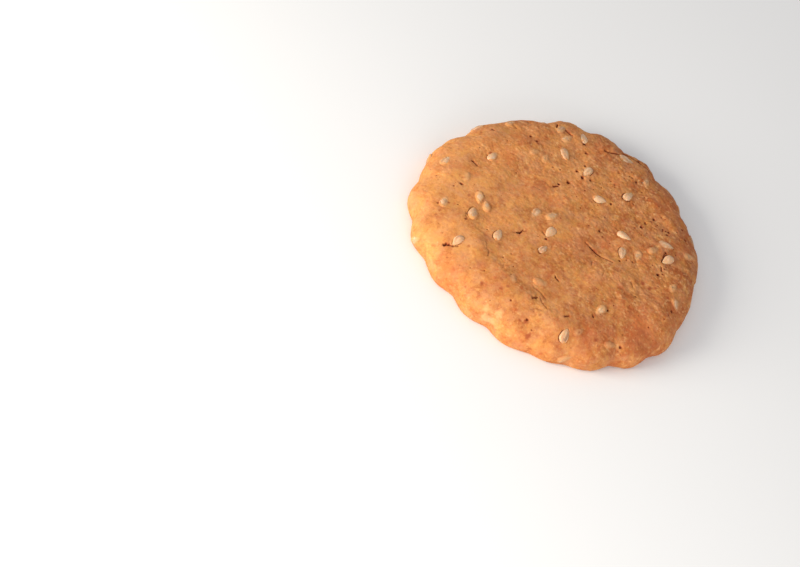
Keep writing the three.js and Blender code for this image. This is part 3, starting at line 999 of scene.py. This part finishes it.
def make_dough(material):
    """The biscuit's dough: both skins joined, refined and carved, inside the solid's box."""
    mesh = joined(dough_sheets())
    bmesh.ops.remove_doubles(mesh, verts=mesh.verts[:], dist=WELD_DISTANCE)
    refine(mesh)
    mesh.normal_update()
    places = read_places(mesh)
    normals = np.array([vert.normal for vert in mesh.verts])
    moved, shares = carve(places, normals)
    places = places + normals * moved[:, None]
    set_places(mesh, np.clip(places, *SOLID_BOX))
    piece = make_object("dough", mesh, material)
    for name, values in shares.items():
        set_attribute(piece, name, values)
    return piece


# ---- The seeds' mesh -------------------------------------------------------------------------


def add_seed(mesh, seed):
    """One flat teardrop, a ball drawn out.

    Returns how far the dough films each of its points, and how near its outline each is.
    """
    made = bmesh.ops.create_uvsphere(
        mesh, u_segments=SEED_SIDES, v_segments=SEED_BANDS, radius=1
    )
    half = Vector((SEED_LENGTH, SEED_WIDTH, SEED_THICKNESS)) * seed.size / 2
    clear = seed.shows == CLEAR_SHOWS
    sunk_film = mix(*SUNK_FILM, seed.bare)
    films = []
    edges = []
    for vert in made["verts"]:
        across, up, along = vert.co
        edges.append(math.hypot(across, along) if up > 0 else 1)
        narrowing = 1 - SEED_TAPER * along
        vert.co = (along * half.x, across * narrowing * half.y, up * narrowing * half.z)
        above_dough = vert.co.z - half.z + seed.shows
        edge_film = 1 - smooth(above_dough, *FILMED_HEIGHTS)
        films.append(edge_film if clear else sunk_film)
    bmesh.ops.transform(mesh, matrix=seed.place, verts=made["verts"])
    for vert in made["verts"]:
        vert.co += SEED_UNEVENNESS * noise.noise_vector(vert.co / SEED_UNEVEN_OVER)
        vert.co = np.clip(vert.co, *SEED_BOX)
    return films, edges


def make_seeds(material):
    """All the sesame seeds as one piece."""
    # Unless it is given a start, noise_vector differs in each run of Blender
    noise.seed_set(SEED_UNEVENNESS_DRAWS)
    mesh = bmesh.new()
    films = []
    edges = []
    paleness = []
    for seed in SEEDS:
        added_films, added_edges = add_seed(mesh, seed)
        films += added_films
        edges += added_edges
        paleness += [seed.paleness] * len(added_films)
    piece = make_object("sesame_seeds", mesh, material)
    # The share out to the outline, from which the finish paints a paler edge: partly the seed's own
    # rim, partly a painted highlight
    set_attribute(piece, "film", films)
    set_attribute(piece, "edge", edges)
    set_attribute(piece, "paleness", paleness)
    return piece


# ---- Materials -------------------------------------------------------------------------------


def srgb(red, green, blue):
    """A colour as it shows on a screen, from 0 to 255, as the renderer's linear one."""
    def linear(value):
        share = value / 255
        return share / 12.92 if share <= 0.04045 else ((share + 0.055) / 1.055) ** 2.4
    return (linear(red), linear(green), linear(blue), 1)


GOLDEN = srgb(222, 150, 84)
BROWN = srgb(166, 91, 44)
PINKISH = srgb(204, 142, 98)
YELLOWED = srgb(214, 150, 78)
REDDENED = srgb(188, 92, 46)
RUDDY = srgb(186, 96, 52)
FLOURY = srgb(238, 182, 122)
OVER_SEED = srgb(216, 164, 114)
SPOT = srgb(158, 84, 42)
BRANNY = srgb(150, 66, 36)
# Painted shade in the pores, with some of their own darker crust
PORE_SHADE_AND_DARK = srgb(128, 60, 26)
# Painted shade in gaps, cracks and pits, with some of the crust's own darker bake in the cracks and
# pits
SHADE_AND_DARK = srgb(132, 58, 26)
DEEPEST_SHADE_AND_DARK = srgb(100, 42, 20)

DULL_SEED = srgb(176, 124, 90)
PALE_SEED = srgb(238, 198, 158)
BROWNED_SEED = srgb(212, 152, 106)
# A paler seed edge: partly the seed's own paler rim, partly a painted highlight
SEED_RIM_AND_HIGHLIGHT = srgb(248, 220, 186)

# Layers of noise that brown the dough, and those that raise its skin: the wavelength, the share
# of the whole and the noise's start
BROWNING = [
    (9, 0.4, 1), (4.5, 0.85, 5), (2.4, 0.75, 7), (1.2, 0.65, 9), (0.55, 0.8, 13), (0.28, 0.6, 15),
]
ROUGHENING = [(1.0, 1.6, 3), (0.35, 0.6, 19)]

# Tints laid over the browning one by one: the colour; the wavelength, detail, roughness and start
# of its noise; the noise at which it begins and at which it is full; and how strong it is then
SKIN_TINTS = [
    (PINKISH, 2.2, 4, 0.65, 17, 0.42, 0.62, 0.6),
    (YELLOWED, 1.9, 4, 0.65, 21, 0.45, 0.64, 0.55),
    (REDDENED, 5.0, 5, 0.7, 23, 0.5, 0.7, 0.5),
    (REDDENED, 0.8, 3, 0.6, 27, 0.56, 0.68, 0.45),
]

# How far red, green and blue light spread under the skin, as shares
GLOW = (1.0, 0.4, 0.2)
# How soft a spot's edge is, as a share of its radius
SPOT_SOFTNESS = 0.6
PEBBLE_SOFTNESS = 0.4
PEBBLE_EDGE = 0.8


class Finish:
    """A material being made: its nodes, and short ways to add the ones used here."""

    def __init__(self, name):
        self.material = bpy.data.materials.new(name)
        self.material.use_nodes = True
        self.nodes = self.material.node_tree.nodes
        self.links = self.material.node_tree.links
        self.shader = self.nodes["Principled BSDF"]
        self.position = self.nodes.new("ShaderNodeTexCoord").outputs["Object"]

    def put(self, socket, value):
        """Links a node's output into a socket, or sets a plain value on it."""
        if isinstance(value, bpy.types.NodeSocket):
            self.links.new(value, socket)
        else:
            socket.default_value = value

    def set(self, **values):
        for name, value in values.items():
            self.put(self.shader.inputs[name.replace("_", " ")], value)

    def noise(self, wavelength, detail=2, roughness=0.5, start=0):
        """Noise from about 0.25 to 0.75, by its wavelength in millimetres."""
        node = self.nodes.new("ShaderNodeTexNoise")
        node.noise_dimensions = "4D"
        node.inputs["W"].default_value = start
        node.inputs["Scale"].default_value = 1 / (wavelength * MM)
        node.inputs["Detail"].default_value = detail
        node.inputs["Roughness"].default_value = roughness
        self.links.new(self.position, node.inputs["Vector"])
        return node.outputs["Fac"]

    def spots(self, spacing, largest, scarce):
        """1 in scattered round spots, by spacing, largest radius and the share left out."""
        node = self.nodes.new("ShaderNodeTexVoronoi")
        node.inputs["Scale"].default_value = 1 / (spacing * MM)
        self.links.new(self.position, node.inputs["Vector"])
        split = self.nodes.new("ShaderNodeSeparateColor")
        self.links.new(node.outputs["Color"], split.inputs["Color"])
        radius = self.between(split.outputs[0], scarce, 1, 0, largest / spacing)
        inside = self.maths("SUBTRACT", radius, node.outputs["Distance"])
        return self.between(inside, 0, SPOT_SOFTNESS * largest / spacing, 0, 1)

    def pebbles(self, spacing):
        """Rounded grains, 1 at their middles."""
        node = self.nodes.new("ShaderNodeTexVoronoi")
        node.feature = "SMOOTH_F1"
        node.inputs["Scale"].default_value = 1 / (spacing * MM)
        node.inputs["Smoothness"].default_value = PEBBLE_SOFTNESS
        self.links.new(self.position, node.inputs["Vector"])
        return self.between(node.outputs["Distance"], 0, PEBBLE_EDGE, 1, 0)

    def attribute(self, name):
        node = self.nodes.new("ShaderNodeAttribute")
        node.attribute_name = name
        return node.outputs["Fac"]

    def between(self, value, low, high, first, last):
        """Carries the values from low to high over to first to last, held at the ends."""
        node = self.nodes.new("ShaderNodeMapRange")
        self.put(node.inputs["Value"], value)
        numbers = {"From Min": low, "From Max": high, "To Min": first, "To Max": last}
        for name, number in numbers.items():
            node.inputs[name].default_value = number
        return node.outputs["Result"]

    def patches(self, wavelength, detail, roughness, start, low, high, strength):
        """Noise as a tint's strength: 0 where it is low, and full where it is high."""
        return self.between(self.noise(wavelength, detail, roughness, start), low, high, 0, strength)

    def marked(self, name, low, high, strength):
        """A share kept on the mesh as a tint's strength: 0 where it is low, full where high."""
        return self.between(self.attribute(name), low, high, 0, strength)

    def layered(self, value, layers, roughness, low, high):
        """A value with layers of noise added to it."""
        for wavelength, share, start in layers:
            layer = self.noise(wavelength, 2, roughness, start)
            value = self.maths("ADD", value, self.between(layer, low, high, 0, share))
        return value

    def mixed(self, factor, first, second, blend="MIX"):
        node = self.nodes.new("ShaderNodeMix")
        node.data_type = "RGBA"
        node.blend_type = blend
        for index, value in ((0, factor), (6, first), (7, second)):
            self.put(node.inputs[index], value)
        return node.outputs[2]

    def maths(self, operation, first, second):
        node = self.nodes.new("ShaderNodeMath")
        node.operation = operation
        self.put(node.inputs[0], first)
        self.put(node.inputs[1], second)
        return node.outputs[0]

    def glow_through(self, weight, depth):
        """Lets light in under the skin, and red light furthest, to a depth in millimetres."""
        self.set(Subsurface_Weight=weight, Subsurface_Scale=depth * MM, Subsurface_Radius=GLOW)

    def bump(self, height, distance):
        """Raises the skin by a height, of which 1 stands for a distance in millimetres."""
        node = self.nodes.new("ShaderNodeBump")
        node.inputs["Strength"].default_value = 1
        node.inputs["Distance"].default_value = distance * MM
        self.links.new(height, node.inputs["Height"])
        self.links.new(node.outputs["Normal"], self.shader.inputs["Normal"])


def dough_finish():
    """Golden to brown crust, tinted, floured and freckled, painted darker in its pores and hollows:
    partly their own darker crust, partly painted shade.
    """
    finish = Finish("baked_dough")
    coarse = finish.attribute("coarse")
    rough = finish.noise(wavelength=5.5, start=41)
    rough_patches = finish.between(rough, low=0.4, high=0.6, first=0.6, last=1)

    # Darker and browner toward one side and in patches
    depth = finish.between(finish.attribute("darkening"), low=-1, high=2, first=-1.2, last=1.35)
    depth = finish.layered(depth, BROWNING, roughness=0.55, low=0.3, high=0.7)
    depth = finish.between(depth, low=1.15, high=2.85, first=0, last=1)
    skin = finish.mixed(depth, GOLDEN, BROWN)
    for colour, *patches in SKIN_TINTS:
        skin = finish.mixed(finish.patches(*patches), skin, colour)
    skin = finish.mixed(finish.marked("reddened", low=0, high=1, strength=0.7), skin, RUDDY)

    floury = finish.patches(0.7, 2, 0.6, 31, low=0.55, high=0.7, strength=0.6)
    on_coarse = finish.between(coarse, low=0, high=1, first=0.5, last=1.3)
    floury = finish.maths("MULTIPLY", floury, on_coarse)
    skin = finish.mixed(finish.maths("MULTIPLY", floury, rough_patches), skin, FLOURY)
    skin = finish.mixed(finish.marked("film", low=0, high=1, strength=0.85), skin, OVER_SEED)
    skin = finish.mixed(finish.marked("pale", low=0.2, high=0.8, strength=0.8), skin, FLOURY)

    spotted = finish.spots(spacing=1.6, largest=0.3, scarce=0.25)
    spotted = finish.between(spotted, low=0, high=1, first=0, last=0.6)
    skin = finish.mixed(spotted, skin, SPOT)
    skin = finish.mixed(finish.marked("bran", low=0.2, high=0.8, strength=0.8), skin, BRANNY)
    pores = finish.spots(spacing=0.8, largest=0.17, scarce=0.45)
    pores = finish.maths("MULTIPLY", pores, rough_patches)
    # Pores painted darker: partly their own darker crust, partly painted shade
    pore_shade_and_dark = finish.between(pores, low=0, high=1, first=0, last=0.9)
    skin = finish.mixed(pore_shade_and_dark, skin, PORE_SHADE_AND_DARK)
    # Gaps, cracks and pits painted darker: painted shade, and in the cracks and pits some of the
    # crust's own darker bake
    skin = finish.mixed(finish.marked("shade_and_dark", low=0, high=0.5, strength=1), skin, SHADE_AND_DARK)
    skin = finish.mixed(finish.marked("shade_and_dark", low=0.5, high=0.9, strength=0.9), skin, DEEPEST_SHADE_AND_DARK)

    height = finish.maths("SUBTRACT", finish.pebbles(spacing=0.75), pores)
    height = finish.layered(height, ROUGHENING, roughness=0.6, low=0, high=1)
    relief = finish.between(coarse, low=0, high=1, first=0.5, last=1.5)
    relief = finish.maths("MULTIPLY", relief, rough_patches)
    finish.bump(finish.maths("MULTIPLY", height, relief), distance=0.075)
    finish.set(Base_Color=skin, Roughness=0.8, Specular_IOR_Level=0.2)
    finish.glow_through(weight=0.12, depth=0.5)
    return finish.material


def seed_finish():
    """Cream seed skin, from dull to pale, browned in patches, with a paler edge: partly the seed's
    own paler rim, partly a painted highlight.
    """
    finish = Finish("sesame")
    tone = finish.mixed(finish.attribute("paleness"), DULL_SEED, PALE_SEED)
    streaks = finish.noise(wavelength=0.5, detail=3)
    streaks = finish.between(streaks, low=0.35, high=0.65, first=0.78, last=1)
    tone = finish.mixed(1, tone, streaks, "MULTIPLY")
    browned_patches = finish.patches(0.9, 2, 0.5, 7, low=0.4, high=0.7, strength=0.45)
    tone = finish.mixed(browned_patches, tone, BROWNED_SEED)

    # A paler edge: partly the seed's own paler rim, partly a painted highlight
    rim_and_highlight = finish.marked("edge", low=0.55, high=0.95, strength=0.4)
    edged_patches = finish.patches(1.5, 2, 0.5, 0, low=0.35, high=0.6, strength=1)
    rim_and_highlight = finish.maths("MULTIPLY", rim_and_highlight, edged_patches)
    rim_and_highlight = finish.maths("MULTIPLY", rim_and_highlight, finish.attribute("paleness"))
    tone = finish.mixed(rim_and_highlight, tone, SEED_RIM_AND_HIGHLIGHT)
    skin = finish.mixed(finish.marked("film", low=0, high=1, strength=0.6), tone, OVER_SEED)

    finish.bump(finish.noise(wavelength=0.35, detail=3), distance=0.06)
    finish.set(Base_Color=skin, Roughness=0.55, Specular_IOR_Level=0.3)
    finish.glow_through(weight=0.3, depth=0.4)
    return finish.material


def floor_finish():
    finish = Finish("pale_floor")
    finish.set(Base_Color=(0.9, 0.9, 0.9, 1), Roughness=0.9, Specular_IOR_Level=0.1)
    return finish.material


# ---- Floor, lights and camera ----------------------------------------------------------------


def make_floor():
    mesh = bmesh.new()
    bmesh.ops.create_grid(mesh, x_segments=1, y_segments=1, size=FLOOR_REACH)
    floor = make_object("floor", mesh, floor_finish())


def make_light(name, azimuth, elevation, distance, size, power, colour):
    """A square soft light that faces the biscuit, by where it stands round it.

    Its turn and height are in degrees, and its distance and size in millimetres.
    """
    lamp = bpy.data.lights.new(name, "AREA")
    lamp.shape = "SQUARE"
    lamp.size = size * MM
    lamp.energy = power
    lamp.color = colour
    turn = math.radians(azimuth)
    rise = math.radians(elevation)
    towards = Vector((
        math.cos(turn) * math.cos(rise),
        math.sin(turn) * math.cos(rise),
        math.sin(rise),
    ))
    light = bpy.data.objects.new(name, lamp)
    light.location = towards * distance * MM
    light.rotation_euler = towards.to_track_quat("Z", "Y").to_euler()
    bpy.context.scene.collection.objects.link(light)


def make_camera():
    """The photograph's view: down at the face, and rolled, as the biscuit leant there."""
    focal = PIXELS_PER_MM * CAMERA_DISTANCE
    right_px = BISCUIT_PIXEL[0] - PHOTO_SIZE[0] / 2
    down_px = BISCUIT_PIXEL[1] - PHOTO_SIZE[1] / 2
    towards = Vector((right_px / focal, -down_px / focal, -1)).normalized()

    rise = math.radians(CAMERA_ELEVATION)
    roll = math.radians(CAMERA_ROLL)
    back = Vector((0, -math.cos(rise), math.sin(rise)))
    level = Vector((1, 0, 0))
    upright = Vector((0, math.sin(rise), math.cos(rise)))
    right = level * math.cos(roll) + upright * math.sin(roll)
    up = upright * math.cos(roll) - level * math.sin(roll)
    aimed = Matrix((right, up, back))
    swing = Vector((0, 0, -1)).rotation_difference(towards).to_matrix()
    to_camera = swing @ aimed

    lens = bpy.data.cameras.new("camera")
    lens.sensor_width = SENSOR_WIDTH
    lens.lens = focal * SENSOR_WIDTH / PHOTO_SIZE[0]
    lens.clip_start = NEAREST_SEEN * MM
    camera = bpy.data.objects.new("camera", lens)
    middle = Vector((0, 0, AIM_HEIGHT))
    spot = middle - to_camera.transposed() @ (towards * CAMERA_DISTANCE)
    camera.matrix_world = Matrix.Translation(spot * MM) @ to_camera.transposed().to_4x4()
    bpy.context.scene.collection.objects.link(camera)
    bpy.context.scene.camera = camera


def set_world(strength, colour):
    """Even light from all round."""
    world = bpy.data.worlds.new("studio")
    world.use_nodes = True
    background = world.node_tree.nodes["Background"]
    background.inputs["Color"].default_value = (*colour, 1)
    background.inputs["Strength"].default_value = strength
    bpy.context.scene.world = world


make_camera()
make_floor()
make_light(
    "key", azimuth=223, elevation=18, distance=330, size=180, power=1.36,
    colour=(1.0, 0.95, 0.86),
)
make_light(
    "fill", azimuth=290, elevation=11, distance=330, size=240, power=0.62,
    colour=(1.0, 0.97, 0.92),
)
set_world(strength=0.56, colour=(0.98, 0.98, 1.0))
bpy.context.scene.view_settings.view_transform = "Standard"

dough = make_dough(dough_finish())
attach(dough, "root")
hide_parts("biscuit")

seeds = make_seeds(seed_finish())
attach(seeds, "root")
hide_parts("biscuit")
